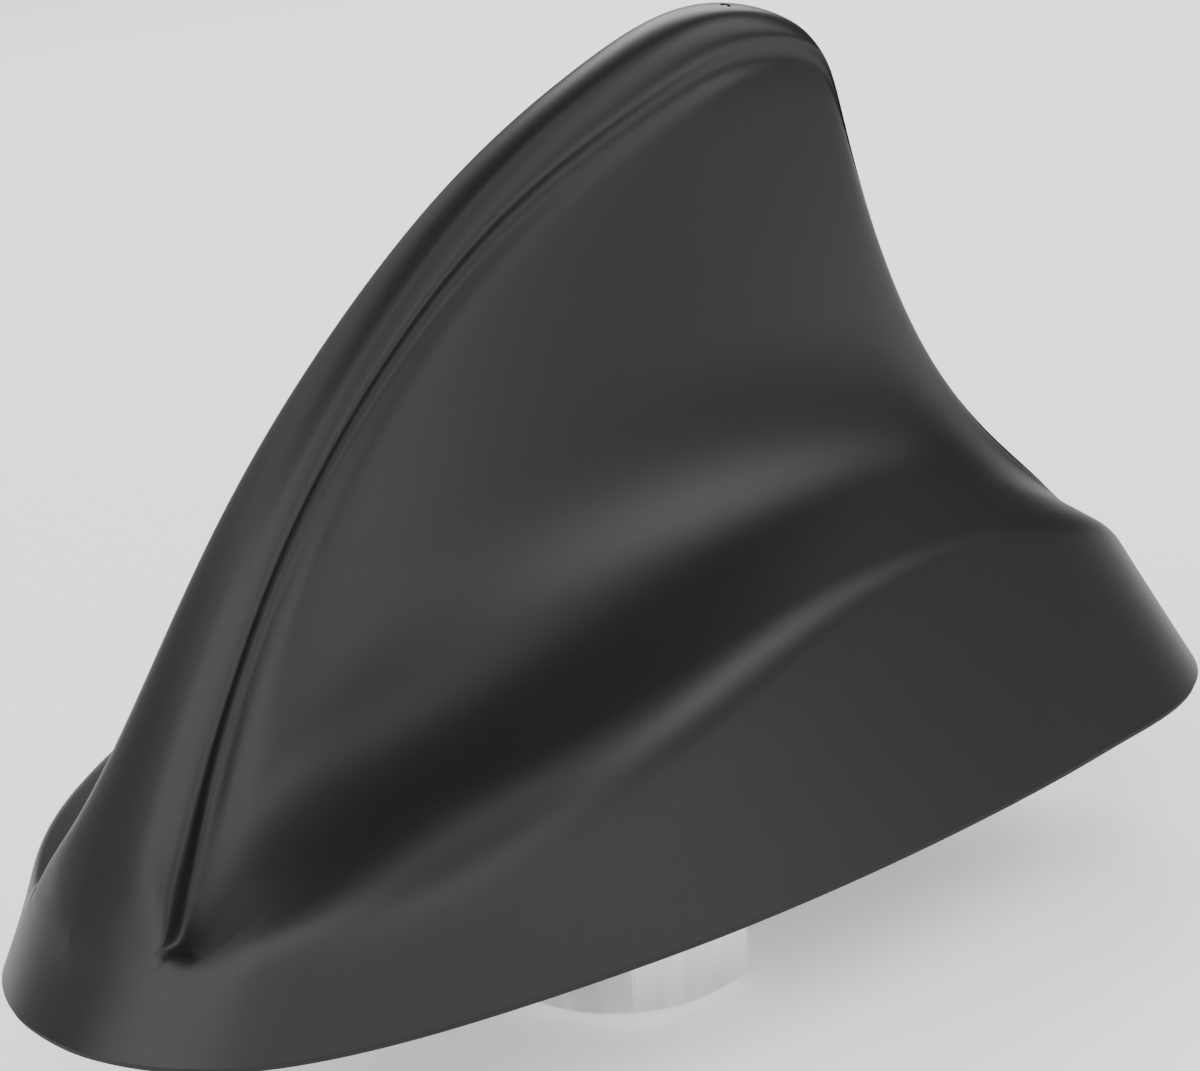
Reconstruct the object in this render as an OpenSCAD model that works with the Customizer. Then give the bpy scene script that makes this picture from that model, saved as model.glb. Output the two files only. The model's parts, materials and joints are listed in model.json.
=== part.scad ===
// Shark fin roof aerial: a moulded cover over a cast base with its circuit boards,
// held to a car roof by a hollow stud and a thin hexagon nut.
// Millimetres. +Z is up, +X points to the tail. The origin is on the stud's axis,
// at the roof face of the gasket.

/* [Cover] */
// Length of the cover from nose to tail
body_len = 143.6; // [120:0.1:180]
// Greatest width of the cover at its rim
body_w = 61.2; // [50:0.1:75]
// Height of the fin's top above the rim
body_h = 78.9; // [60:0.1:95]
// Wall thickness of the cover
wall = 2.3; // [1.8:0.1:3]
// Least half width of the slot inside the fin
slot_half = 0.9; // [0.8:0.05:1.5]
// Diameter of the gate mark near the fin's top
gate_d = 1.1; // [0.8:0.1:1.6]

/* [Roof fixing] */
// Distance of the stud's axis from the nose
stud_x = 67; // [50:1:90]
// Thread diameter of the stud
stud_d = 16; // [12:1:20]
// Thread pitch
pitch = 1.5; // [1:0.25:2]
// Wall of the hollow stud round its bore
stud_wall = 2.5; // [2:0.1:3]
// Lowest point of the stud below the roof face
stud_end = 17.8; // [12:0.1:30]
// Width across the flats of the nut
nut_af = 24; // [18:1:30]
// Height of the nut
nut_h = 8; // [5:0.5:13]
// Top face of the nut below the roof face
nut_top = 8.8; // [4:0.1:20]
// Turn of the nut about its axis
nut_turn = -6.3; // [-30:0.1:30]
// Diameter of the spigot that fits the hole in the roof
spigot_d = 20; // [18:0.5:24]
// Reach of the spigot below the roof face
spigot_h = 2.4; // [1:0.1:4]

/* [Gasket and base] */
// Thickness of the gasket's lip under the cover's rim
lip_t = 0.6; // [0.4:0.1:2]
// Thickness of the gasket under the base plate
gasket_t = 2; // [1.5:0.1:4]
// Thickness of the base plate
plate_t = 3; // [2:0.5:5]
// Gap between the base plate and the cover's wall
plate_gap = 0.4; // [0.2:0.1:1]

/* [Electronics] */
// Underside of the circuit board above the roof face
board_z = 10; // [9:0.5:12]
// Thickness of the circuit board
board_t = 1.6; // [1:0.1:2]
// Side of the square satellite patch
patch_w = 25; // [18:1:25]
// Thickness of the satellite patch
patch_t = 4; // [2:0.5:6]
// Distance of the patch's centre behind the stud
patch_x = 36; // [34:1:38]
// Thickness of the upright radio board
blade_t = 1.2; // [0.8:0.1:1.4]

/* [Hidden] */
$fn = 64;
sx = body_len / 143.6;
sy = body_w / 61.2;
sz = body_h / 78.9;
plate_z = gasket_t;
plate_top = plate_z + plate_t;
board_top = board_z + board_t;
stud_bore = stud_d - 2 * stud_wall;
flange_t = 2;
flange_d = stud_d + 6;
fit = 0.05;
screw_r = 1.25;
spots_cover = [[-40 * sx, 12], [-40 * sx, -12], [55 * sx, 8], [55 * sx, -8]];
spots_board = [[-28 * sx, 11], [-28 * sx, -11], [14 * sx, 16], [14 * sx, -16]];

// One row for each station round the cover, from the nose to the tail, in millimetres:
// rim x and y, shoulder x y z, spine x z, flank foot y z, flank half width under the band,
// depth of the band, step of the band, rounding at the shoulder, rounding at the foot,
// fullness of the spine
rows = [
  [0, 0, 2.1, 0, 3.8, 4.2, 7.9, 0, 5.2, 0, 2.4, 0, 4, 4, 2],
  [0.3, 5.9, 3, 6.2, 4.3, 4.5, 8.4, 5.8, 5.6, 4.7, 3.1, 0, 4, 4, 2],
  [2.9, 12.5, 6.1, 11.9, 6.2, 5.6, 10.4, 11.2, 7, 11, 5.5, 0.1, 3, 3, 2],
  [5.9, 16.7, 9.1, 14.6, 7.9, 7.4, 13.4, 12.7, 8, 10.6, 6.4, 0.2, 2, 2, 2],
  [9, 19.8, 11.5, 17.9, 10.2, 9.9, 17.3, 12.2, 9.8, 8.6, 7, 0.6, 3, 2.5, 2],
  [13.9, 22.7, 15.8, 21.5, 12.5, 14.2, 23.8, 11.6, 12.9, 6.3, 7.2, 1.3, 5, 4.5, 2.1],
  [21, 25.4, 22.2, 24.6, 14.4, 20.6, 33.6, 11.2, 17, 4.7, 6.7, 1.5, 7, 6.5, 2.1],
  [32.2, 27.9, 31.1, 27.3, 16.2, 31.8, 48.7, 10.9, 22.4, 3.4, 5.8, 1.5, 9, 9, 2.2],
  [54.5, 30.8, 52.6, 27.9, 20.6, 52.9, 67.3, 10.1, 30, 2.6, 5.5, 1.4, 8, 12, 2.2],
  [77.3, 30.6, 74.3, 23.6, 24.6, 73.5, 76.7, 8.3, 34.5, 3.3, 7.1, 1.2, 5, 13, 2.2],
  [94, 29.3, 90.9, 20.4, 24.6, 85.5, 80.1, 6.8, 35, 3.8, 5.8, 0.9, 3, 13, 2.2],
  [105.5, 27.9, 100.7, 18.3, 23.7, 98.1, 76, 5.9, 33.8, 3.6, 2.8, 0.5, 2.5, 12, 2.1],
  [114.4, 26.3, 108.2, 17.1, 22.5, 100, 68.2, 5.2, 32.1, 2.9, 1.6, 0.1, 2, 11, 2],
  [124.9, 25, 117.4, 15.1, 20.5, 106, 47.8, 4.1, 27.7, 2.2, 1.1, 0, 2, 8, 2],
  [134.4, 20.1, 127.8, 11.6, 17.1, 115.5, 32, 2.9, 21, 1.7, 1, 0, 2, 5, 2],
  [141, 10.6, 135.1, 7.3, 13.3, 127.7, 21.1, 1.8, 16.4, 1.4, 1.1, 0, 2, 2, 2],
  [145, 0, 138.2, 0, 11.4, 132.8, 16.6, 0, 12.9, 0, 1.2, 0, 2, 1, 2]
];
last_row = len(rows) - 1;
steps = 4;
// Stations between which the recess of the flank sets in, and the band over it
recess_from = 2.35;
recess_to = 3.2;
band_from = 2;
band_to = 5;
ledge = 0.5;
cave_from = 4.7;
cave_to = 14.4;
cave_steps = 30;

// Columns that change sign across the centre line, so the loft runs smoothly over it
swap = [1, -1, 1, -1, 1, 1, 1, -1, 1, -1, 1, -1, 1, 1, 1];
function over(r) = [for (i = [0:14]) r[i] * swap[i]];
function row_at(k) = k < 0 ? over(rows[1]) : k > last_row ? over(rows[last_row - 1]) : rows[k];
function blend(a, b, c, d, s) =
  (pow(1 - s, 3) * a + (3 * pow(s, 3) - 6 * s * s + 4) * b
  + (3 * s * s - 3 * pow(s, 3) + 3 * s + 1) * c + pow(s, 3) * d) / 6;
function station(t) =
  let (k = min(floor(t), last_row - 1))
  blend(row_at(k - 1), row_at(k), row_at(k + 1), row_at(k + 2), t - k);

function mix(a, b, u) = a + (b - a) * u;
function toward(a, b, s) = norm(b - a) < 1e-6 ? a : a + (b - a) * min(s / norm(b - a), 0.44);
function bend(a, b, c, s, n) =
  let (p = toward(b, a, s), q = toward(b, c, s))
  [for (i = [0:n - 1]) let (u = i / (n - 1))
    (1 - u) * (1 - u) * p + 2 * u * (1 - u) * b + u * u * q];
function between(a, b, n) = [for (i = [1:1:n]) mix(a, b, i / (n + 1))];

// Unit direction from the spine down to the shoulder, in the side view
function down(r) =
  let (v = [r[2] - r[5], 0, r[4] - r[6]])
  norm(v) < 1e-6 ? [0, 0, -1] : v / norm(v);
function drop(r) = norm([r[2] - r[5], 0, r[4] - r[6]]);
function foot(r) =
  let (k = (r[8] - r[4]) / max(r[6] - r[4], 0.001))
  [mix(r[2], r[5], k), -r[7], r[8]];

// Outer half section on the near side, from the rim up to the spine
function recessed(r) =
  let (
    e = [r[0], -r[1], 0],
    sh = [r[2], -r[3], r[4]],
    top = [r[5], 0, r[6]],
    d = down(r),
    deep = min(r[10], drop(r) * 0.98),
    ft = foot(r),
    g = top + d * deep + [0, -r[9], 0],
    gi = g + [0, min(ledge, r[9] * 0.3), 0],
    lip = g + (ft - g) * min(1.7 / max(norm(ft - g), 0.001), 0.3),
    b = top + d * deep * 0.72 + [0, -r[9] - r[11], 0],
    h = top + d * deep * 0.55 + [0, -r[9] - r[11], 0],
    c1 = bend(e, sh, ft, r[12], 5),
    c2 = bend(sh, ft, lip, r[13], 5),
    cl = bend(ft, lip, gi, 0.9, 3),
    c3 = bend(lip, gi, b, 0.7, 3),
    c4 = bend(gi, b, h, 2.4, 3),
    s0 = c4[2],
    arc = [for (i = [1:6]) let (u = sin(15 * i))
      [mix(s0.x, top.x, u), s0.y * sqrt(max(0, 1 - pow(u, r[14]))), mix(s0.z, top.z, u)]]
  )
  concat([e], between(e, c1[0], 2), c1, between(c1[4], c2[0], 2), c2,
    between(c2[4], cl[0], 3), cl, c3, c4, arc);
groove_at = 24;
band_at = 27;

function ramp(t, a, b) = let (w = min(1, max(0, (t - a) / (b - a)))) w * w * (3 - 2 * w);
function cubic(a, b, c, d, q) =
  pow(1 - q, 3) * a + 3 * q * (1 - q) * (1 - q) * b + 3 * q * q * (1 - q) * c + pow(q, 3) * d;
// Where a full curve from rim to spine has the width y
function seek(y, a, b, c, lo, hi, n) =
  let (m = (lo + hi) / 2)
  n == 0 ? m : cubic(a, b, c, 0, m) < y ? seek(y, a, b, c, m, hi, n - 1) : seek(y, a, b, c, lo, m, n - 1);

// Round the nose the section is a full curve, and the recess sets in behind it
function section(t) =
  let (
    r = station(t),
    raw = recessed(r),
    e = [r[0], -r[1], 0],
    sh = [r[2], -r[3], r[4]],
    top = [r[5], 0, r[6]],
    v = sh - top,
    c = abs(v.y) / norm(v),
    a1 = e + (sh - e) * 1.25,
    a2 = top + 0.7 * [v.x * (1 - c), v.y, v.z * (1 - c)],
    wr = ramp(t, recess_from, recess_to),
    wb = ramp(t, band_from, band_to),
    n = len(raw),
    whole = [for (i = [0:n - 1]) let (
        q0 = i / (n - 1),
        q = t > 1 ? mix(q0, seek(raw[i].y, e.y, a1.y, a2.y, 0, 1, 24), ramp(t, 1, 2.5)) : q0)
      cubic(e, a1, a2, top, i == 0 ? 0 : i == n - 1 ? 1 : q)],
    ps = t >= band_to ? raw : [for (i = [0:n - 1]) let (
        f = min(1, max(0, (i - groove_at) / (band_at - groove_at))))
      mix(whole[i], raw[i], mix(wr, wb, f))]
  )
  [for (p = ps) [p.x * sx, p.y * sy, p.z * sz]];

// Inward normals of the rim in plan and of the spine in side view, at row k
function in_plan(k) =
  let (v = [row_at(k + 1)[0] - row_at(k - 1)[0], row_at(k + 1)[1] - row_at(k - 1)[1]])
  [v[1], -v[0]] / norm(v);
function in_side(k) =
  let (
    a = rows[max(k - 1, 0)], b = rows[min(k + 1, last_row)],
    v = [b[5] - a[5], b[6] - a[6]]
  )
  [v[1], -v[0]] / norm(v);

// The same rows moved in by the wall thickness: rim, shoulder, foot, slot and roof of the cavity
function cave_row(k) =
  let (
    r = rows[k], n = in_plan(k), m = in_side(k),
    thin = max(slot_half, r[9] - wall - 1.2),
    back = wall + max(0, 2 * (wall + slot_half - r[9])) + 0.8
  )
  [r[0] + n[0] * wall, r[1] + n[1] * wall,
   r[2] + n[0] * wall * 1.1, max(r[3] + n[1] * wall * 1.15, 1.5), r[4] - wall,
   r[5] + m[0] * back, r[6] + m[1] * back,
   max(r[7] - wall * 1.05, slot_half), r[8] - wall, thin];
function cave_station(t) =
  let (k = floor(t))
  blend(cave_row(k - 1), cave_row(k), cave_row(k + 1), cave_row(min(k + 2, last_row)), t - k);
function cave_section(t) =
  let (
    r = cave_station(t),
    e = [r[0], -r[1], 0],
    sh = [r[2], -r[3], r[4]],
    k = (r[8] - r[4]) / (r[6] - r[4]),
    ft = [mix(r[2], r[5], k), -r[7], r[8]],
    top = [r[5], -r[9], r[6]],
    o = station(t)
  )
  [for (p = concat([e, mix(e, sh, 0.3)], bend(e, sh, ft, o[12], 4), bend(sh, ft, top, o[13], 4),
      [mix(ft, top, 0.75), top])) [p.x * sx, p.y * sy, p.z * sz]];

function flip(p) = [p.x, -p.y, p.z];
function rev(v) = [for (i = [len(v) - 1:-1:0]) v[i]];

// Full outer sections, near rim to far rim over the spine
outer = [for (i = [0:last_row * steps]) let (s = section(i / steps), n = len(s))
  concat(s, [for (j = [n - 2:-1:0]) flip(s[j])])];
inner = [for (i = [0:cave_steps]) let (s = cave_section(mix(cave_from, cave_to, i / cave_steps)))
  concat(s, [for (j = [len(s) - 1:-1:0]) flip(s[j])])];
n_out = len(outer[0]);
n_in = len(inner[0]);

// Rim outline of the cover, and outline of the cavity at a height above the rim
rim = [for (i = [0:last_row * 6]) let (p = station(i / 6)) [p[0] * sx, -p[1] * sy]];
rim_loop = concat(rim, [for (i = [len(rim) - 2:-1:1]) [rim[i].x, -rim[i].y]]);
function cave_at(h) =
  let (a = [for (i = [0:cave_steps]) let (
      r = cave_station(mix(cave_from, cave_to, i / cave_steps)),
      u = h / (r[4] * sz))
    [mix(r[0], r[2], u) * sx, -mix(r[1], r[3], u) * sy]])
  concat(a, [for (i = [len(a) - 1:-1:0]) [a[i].x, -a[i].y]]);

module rim_shape(inset) {
  offset(delta = -inset) translate([-stud_x * sx, 0]) polygon(rim_loop);
}

module cave_shape(h, inset) {
  offset(delta = -inset) translate([-stud_x * sx, 0]) polygon(cave_at(h));
}

module shell() {
  m = len(outer);
  c = len(inner);
  pts = concat([for (s = outer) each s], [for (s = inner) each s]);
  base = m * n_out;
  // Index of point j on outer station i, and of point j on inner station i
  function po(i, j) = i * n_out + j;
  function pi_(i, j) = base + i * n_in + j;
  skin = [for (i = [0:m - 2]) for (j = [0:n_out - 2])
    each [[po(i, j), po(i, j + 1), po(i + 1, j + 1)], [po(i, j), po(i + 1, j + 1), po(i + 1, j)]]];
  cave = [for (i = [0:c - 2]) for (j = [0:n_in - 2])
    each [[pi_(i, j), pi_(i + 1, j + 1), pi_(i, j + 1)],
      [pi_(i, j), pi_(i + 1, j), pi_(i + 1, j + 1)]]];
  half = n_in / 2;
  function wall_at(i, way) = [for (j = [0:half - 2]) let (
      a = pi_(i, j), b = pi_(i, j + 1), d = pi_(i, n_in - 2 - j), e = pi_(i, n_in - 1 - j))
    each (way ? [[a, b, d], [a, d, e]] : [[a, d, b], [a, e, d]])];
  // Rim ring: each inner rim point is tied to an outer rim point further round
  function tie(i) = round(mix(cave_from, cave_to, i / (c - 1)) * steps);
  ring_near = [for (i = [0:c - 2]) each concat(
    [for (k = [tie(i):1:tie(i + 1) - 1]) [po(k, 0), po(k + 1, 0), pi_(i, 0)]],
    [[pi_(i, 0), po(tie(i + 1), 0), pi_(i + 1, 0)]])];
  e1 = n_out - 1;
  e2 = n_in - 1;
  ring_far = [for (i = [0:c - 2]) each concat(
    [for (k = [tie(i):1:tie(i + 1) - 1]) [po(k + 1, e1), po(k, e1), pi_(i, e2)]],
    [[po(tie(i + 1), e1), pi_(i, e2), pi_(i + 1, e2)]])];
  f0 = tie(0);
  f1 = tie(c - 1);
  nose_rim = concat(
    [for (k = [0:f0 - 1]) each [[po(k, 0), po(k + 1, 0), pi_(0, 0)],
      [po(k + 1, e1), po(k, e1), pi_(0, e2)]]],
    [[po(0, 0), pi_(0, 0), pi_(0, e2)]]);
  tail_rim = concat(
    [for (k = [f1:m - 2]) each [[po(k, 0), po(k + 1, 0), pi_(c - 1, 0)],
      [po(k + 1, e1), po(k, e1), pi_(c - 1, e2)]]],
    [[po(m - 1, 0), pi_(c - 1, e2), pi_(c - 1, 0)]]);
  polyhedron(pts, concat(skin, cave, wall_at(0, true), wall_at(c - 1, false),
    ring_near, ring_far, nose_rim, tail_rim));
}

// Screw bosses under the roof of the pod: place and height of the blind end
module bosses() {
  for (p = spots_cover) translate([p.x, p.y, plate_top + 0.1])
    cylinder(r = 3.2, h = (p.x < 0 ? 18.2 : 19.2) * sz - plate_top);
}

module boss_holes() {
  for (p = spots_cover) translate([p.x, p.y, plate_top - 1])
    cylinder(r = screw_r + fit, h = 11.5);
}

// Small round gate mark beside the spine at the fin's top, with a pip left standing in it
module gate_mark() {
  r = station(10.15);
  translate([(r[5] - stud_x) * sx, -1.3 * sy, (r[6] - 0.12) * sz + lip_t]) rotate([10, 0, 0]) difference() {
    translate([0, 0, -0.3]) cylinder(d = gate_d, h = 1.5);
    translate([0, 0, -0.4]) cylinder(d = gate_d * 0.45, h = 0.3);
  }
}

module cover() {
  color([0.2, 0.2, 0.21])
  difference() {
    union() {
      translate([-stud_x * sx, 0, lip_t]) shell();
      bosses();
    }
    boss_holes();
    gate_mark();
  }
}

// Rubber strip in the groove round the base plate
module cover_seal() {
  color([0.08, 0.08, 0.08])
  translate([0, 0, plate_z + 1]) linear_extrude(1.4) difference() {
    cave_shape(plate_z + 2.4 - lip_t, fit);
    cave_shape(plate_top - lip_t, plate_gap + 1.5);
  }
}

module roof_gasket() {
  color([0.1, 0.1, 0.1])
  difference() {
    union() {
      linear_extrude(lip_t) rim_shape(0.25);
      linear_extrude(gasket_t) cave_shape(gasket_t - lip_t, 0.3);
    }
    translate([0, 0, -1]) cylinder(d = spigot_d + 0.2, h = gasket_t + 2);
    translate([24, 0, -1]) cylinder(r = 2.6, h = gasket_t + 2);
    // Recess between the two sealing lands
    translate([0, 0, -1]) linear_extrude(1.8) difference() {
      rim_shape(5.5);
      circle(r = 15);
      translate([24, 0]) circle(r = 5);
    }
  }
}

module base_plate() {
  color([0.72, 0.72, 0.74])
  difference() {
    union() {
      translate([0, 0, plate_z]) linear_extrude(1) cave_shape(plate_top - lip_t, plate_gap);
      translate([0, 0, plate_z + 0.9]) linear_extrude(1.6)
        cave_shape(plate_top - lip_t, plate_gap + 1.5);
      translate([0, 0, plate_z + 2.4]) linear_extrude(plate_t - 2.4)
        cave_shape(plate_top - lip_t, plate_gap);
      translate([0, 0, -spigot_h]) cylinder(d = spigot_d, h = spigot_h + plate_z + 1);
      translate([24, 0, -spigot_h]) cylinder(r = 2.5, h = spigot_h + plate_z + 1);
      for (p = spots_board) translate([p.x, p.y, plate_top - 1])
        cylinder(r = 3.2, h = board_z - plate_top + 1);
      // Stiffening ribs along the plate
      for (y = [-13, 13]) translate([-22 * sx, y - 0.75, plate_top - 1]) cube([62 * sx, 1.5, 4]);
      for (x = [-24, 30]) translate([x * sx - 0.75, -13, plate_top - 1]) cube([1.5, 26, 3]);
    }
    translate([0, 0, -spigot_h - 1]) cylinder(r = stud_d / 2 + fit, h = 20);
    for (p = spots_cover) translate([p.x, p.y, 0]) {
      cylinder(r = 1.7, h = 10);
      cylinder(r = 3.1, h = plate_z + 1.8);
    }
    for (p = spots_board) translate([p.x, p.y, plate_z + 1.5]) cylinder(r = 1.1, h = 10);
  }
}

module mounting_stud() {
  r = stud_d / 2;
  root = r - 0.8;
  b = stud_bore / 2;
  turns = floor((nut_top - 3.6) / pitch);
  // Crests and roots of the thread between the spigot and the nut
  thread = [for (i = [0:turns - 1]) let (z = -3.4 - i * pitch)
    each [[root, z], [r, z - pitch * 0.4], [r, z - pitch * 0.6], [root, z - pitch]]];
  color([0.75, 0.76, 0.74])
  rotate_extrude() polygon(concat(
    [[b + 0.5, plate_top + flange_t], [flange_d / 2, plate_top + flange_t],
      [flange_d / 2, plate_top], [r, plate_top], [r, -3]],
    thread,
    [[r - 0.5, -nut_top + 0.1], [r - 0.5, 0.6 - stud_end], [r - 1.1, -stud_end],
      [b + 0.4, -stud_end], [b, 0.4 - stud_end], [b, 1], [b + 0.5, 1]]));
}

module mounting_nut() {
  r_in = nut_af * 0.478;
  r_out = nut_af / 2 / cos(30) + 0.2;
  c = (r_out - r_in) * tan(30);
  color([0.78, 0.79, 0.76])
  translate([0, 0, -nut_top - nut_h]) rotate([0, 0, nut_turn]) difference() {
    intersection() {
      cylinder(r = nut_af / 2 / cos(30), h = nut_h, $fn = 6);
      rotate_extrude() polygon([[0, 0], [r_in, 0], [r_out, c], [r_out, nut_h - c], [r_in, nut_h], [0, nut_h]]);
    }
    translate([0, 0, -1]) cylinder(r = stud_d / 2 - 0.45, h = nut_h + 2);
    translate([0, 0, -0.01]) cylinder(r1 = stud_d / 2 + 0.3, r2 = stud_d / 2 - 0.45, h = 0.75);
    translate([0, 0, nut_h - 0.74]) cylinder(r1 = stud_d / 2 - 0.45, r2 = stud_d / 2 + 0.3, h = 0.75);
  }
}

// Soft plug in the top of the stud that holds the three cables apart
module cable_grommet() {
  color([0.12, 0.12, 0.12])
  difference() {
    union() {
      translate([0, 0, 1]) cylinder(r = stud_bore / 2 + 0.5 - fit, h = plate_top + flange_t - 1);
      translate([0, 0, plate_top + flange_t]) cylinder(r = stud_bore / 2 + 1.9, h = 1.2);
    }
    for (a = [90, 210, 330]) rotate([0, 0, a]) translate([0.28 * stud_bore, 0, 0])
      cylinder(r = 0.13 * stud_bore, h = 12);
  }
}

module board_outline() {
  h = [[-34, 9], [-30, 14], [-14, 19], [14, 19.5], [34, 17], [46, 13], [50, 9]];
  polygon([for (k = [0:13]) let (p = h[k < 7 ? k : 13 - k]) [p.x * sx, k < 7 ? p.y : -p.y]]);
}

module circuit_board() {
  color([0.1, 0.35, 0.2])
  translate([0, 0, board_z]) linear_extrude(board_t) difference() {
    board_outline();
    circle(r = stud_d / 2 + 0.5);
    for (p = spots_board) translate(p) circle(r = 1.25);
  }
}

// Pan head with a cross recess and its shank, head up
module screw(head_r, head_h, shank_r, shank_l) {
  difference() {
    union() {
      cylinder(r = head_r, h = head_h);
      translate([0, 0, -shank_l]) cylinder(r = shank_r, h = shank_l + 0.2);
      translate([0, 0, -shank_l - 0.8]) cylinder(r1 = 0.3, r2 = shank_r, h = 0.8);
    }
    for (a = [0, 90]) rotate([0, 0, a]) translate([-1.6, -0.3, head_h - 1]) cube([3.2, 0.6, 2]);
  }
}

module board_screws() {
  color([0.7, 0.7, 0.72])
  for (p = spots_board) translate([p.x, p.y, board_top]) screw(2.6, 1.7, 1.05, 6.5);
}

module cover_screws() {
  color([0.7, 0.7, 0.72])
  for (p = spots_cover) translate([p.x, p.y, plate_z + 1.8]) rotate([180, 0, 0])
    screw(2.9, 1.7, screw_r, 10.5);
}

module amplifier_shield() {
  long = 11 * sx;
  color([0.75, 0.76, 0.78])
  translate([-32.5 * sx, -7, board_top]) difference() {
    cube([long, 14, 2.8]);
    translate([0.3, 0.3, -1]) cube([long - 0.6, 13.4, 3.5]);
    for (x = [-2.5, 0, 2.5], y = [4, 7, 10]) translate([long / 2 + x, y, 1]) cylinder(r = 0.6, h = 4);
  }
}

module amplifier_chip() {
  color([0.1, 0.1, 0.1])
  translate([-32.5 * sx + 3.5, -2, board_top]) cube([4, 4, 1]);
}

pad_t = 0.5;
foil_t = 0.1;
patch_z = board_top + pad_t;

module gps_pad() {
  color([0.9, 0.9, 0.88])
  translate([patch_x * sx, 0, board_top]) difference() {
    translate([-10, -10, 0]) cube([20, 20, pad_t]);
    translate([3, 0, -1]) cylinder(r = 0.8, h = 3);
  }
}

module gps_patch() {
  color([0.78, 0.72, 0.62])
  translate([patch_x * sx, 0, patch_z]) difference() {
    translate([-patch_w / 2, -patch_w / 2, 0]) cube([patch_w, patch_w, patch_t]);
    translate([3, 0, -1]) cylinder(r = 0.6, h = patch_t + 2);
  }
}

// Silvered top face of the patch, with two trimmed corners
module gps_electrode() {
  w = patch_w - 4;
  color([0.85, 0.85, 0.85])
  translate([patch_x * sx, 0, patch_z + patch_t]) linear_extrude(foil_t) difference() {
    polygon([[-w / 2 + 2, -w / 2], [w / 2, -w / 2], [w / 2, w / 2 - 2], [w / 2 - 2, w / 2],
      [-w / 2, w / 2], [-w / 2, -w / 2 + 2]]);
    translate([3, 0]) circle(r = 0.6);
  }
}

module gps_feed_pin() {
  color([0.8, 0.7, 0.4])
  translate([patch_x * sx + 3, 0, board_top]) {
    cylinder(r = 0.5, h = pad_t + patch_t + foil_t + 0.1);
    translate([0, 0, pad_t + patch_t + foil_t]) cylinder(r1 = 1.1, r2 = 0.6, h = 0.5);
  }
}

// Height above the roof face that keeps its share of the fin's height
function fin_z(z) = lip_t + (z - lip_t) * sz;
trace_z = fin_z(21);

// Outline of the upright board in side view, following the fin's front and back
module blade_outline() {
  foot = [[-20, 13], [20, 13]];
  fin = [[20, 22], [26, 28], [27, 55], [26, 68], [22, 72], [12, 72], [0, 66.5], [-14, 57], [-23, 46],
    [-24, 20], [-20, 18]];
  polygon(concat([for (p = foot) [p.x * sx, p.y]], [for (p = fin) [p.x * sx, fin_z(p.y)]]));
}

module radio_board() {
  color([0.1, 0.35, 0.2])
  translate([0, blade_t / 2, 0]) rotate([90, 0, 0]) linear_extrude(blade_t) blade_outline();
}

// Copper track that runs to and fro up the blade
module radio_trace() {
  n = 16;
  rise = 2.8 * sz;
  color([0.72, 0.45, 0.2])
  translate([0, -blade_t / 2, 0]) rotate([90, 0, 0]) linear_extrude(foil_t) {
    for (i = [0:n]) translate([3 * sx, trace_z + i * rise]) square([17 * sx, 1]);
    for (i = [0:n - 1]) translate([i % 2 == 0 ? 3 * sx : 20 * sx - 1, trace_z + i * rise]) square([1, rise + 1]);
    translate([20 * sx - 1, 14]) square([0.9, trace_z - 13]);
  }
}

// Plastic saddle on the circuit board that holds the foot of the blade
module blade_carrier() {
  color([0.85, 0.85, 0.82])
  difference() {
    union() {
      translate([-19.5 * sx, -7, board_top]) cube([35.5 * sx, 14, 1.4]);
      translate([-19.5 * sx, -3, board_top]) cube([35.5 * sx, 6, trace_z - 1 - board_top]);
    }
    translate([-30, -blade_t / 2 - 0.05, 13]) cube([60, blade_t + 0.1, 20]);
    translate([-9, -8, board_top - 1]) cube([18, 16, 5.4]);
  }
}

// Two springs that press on the blade's foot and are soldered to the circuit board
module contact_clips() {
  color([0.8, 0.7, 0.4])
  for (m = [0, 1]) mirror([0, m, 0]) translate([17 * sx, blade_t / 2 + 0.12, board_top]) {
    cube([1.6, 3, 0.3]);
    cube([1.6, 0.3, 4]);
  }
}

module coax_sockets() {
  color([0.8, 0.7, 0.4])
  for (p = [[-8, 13], [-8, -12.2], [6, 13]]) translate([p.x, p.y, board_top]) {
    translate([-2, -2, 0]) cube([4, 4, 0.8]);
    difference() {
      cylinder(r = 1.6, h = 2.4);
      translate([0, 0, 1]) cylinder(r = 1.1, h = 3);
    }
    cylinder(r = 0.4, h = 2);
  }
}

// Bent sheet strip beside the blade
module phone_element() {
  t = 0.4;
  color([0.75, 0.76, 0.78])
  translate([-12, -17.6, board_top]) rotate([90, 0, 90]) linear_extrude(20)
    polygon([[0, 0], [3, 0], [3, t], [t, t], [t, 7.6], [6, 7.6], [6, 8], [0, 8]]);
}

// Small moulded parts soldered on the circuit board
module small_parts() {
  color([0.12, 0.12, 0.12])
  for (p = [[-18, 11, 3, 3], [-15, -11, 4, 3], [0, 16, 3, 2], [12, 9, 4, 4], [12, -10, 3, 3],
      [21, 15, 2, 1.2], [21, -15, 2, 1.2]])
    translate([p[0] - p[2] / 2, p[1] - p[3] / 2, board_top]) cube([p[2], p[3], 0.9]);
}

cover();
cover_seal();
roof_gasket();
base_plate();
mounting_stud();
mounting_nut();
cable_grommet();
circuit_board();
board_screws();
cover_screws();
amplifier_shield();
amplifier_chip();
gps_pad();
gps_patch();
gps_electrode();
gps_feed_pin();
radio_board();
radio_trace();
blade_carrier();
contact_clips();
coax_sockets();
phone_element();
small_parts();
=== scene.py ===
import json
import math

import bmesh
import bpy
import numpy as np
from mathutils import Matrix, Vector


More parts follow.
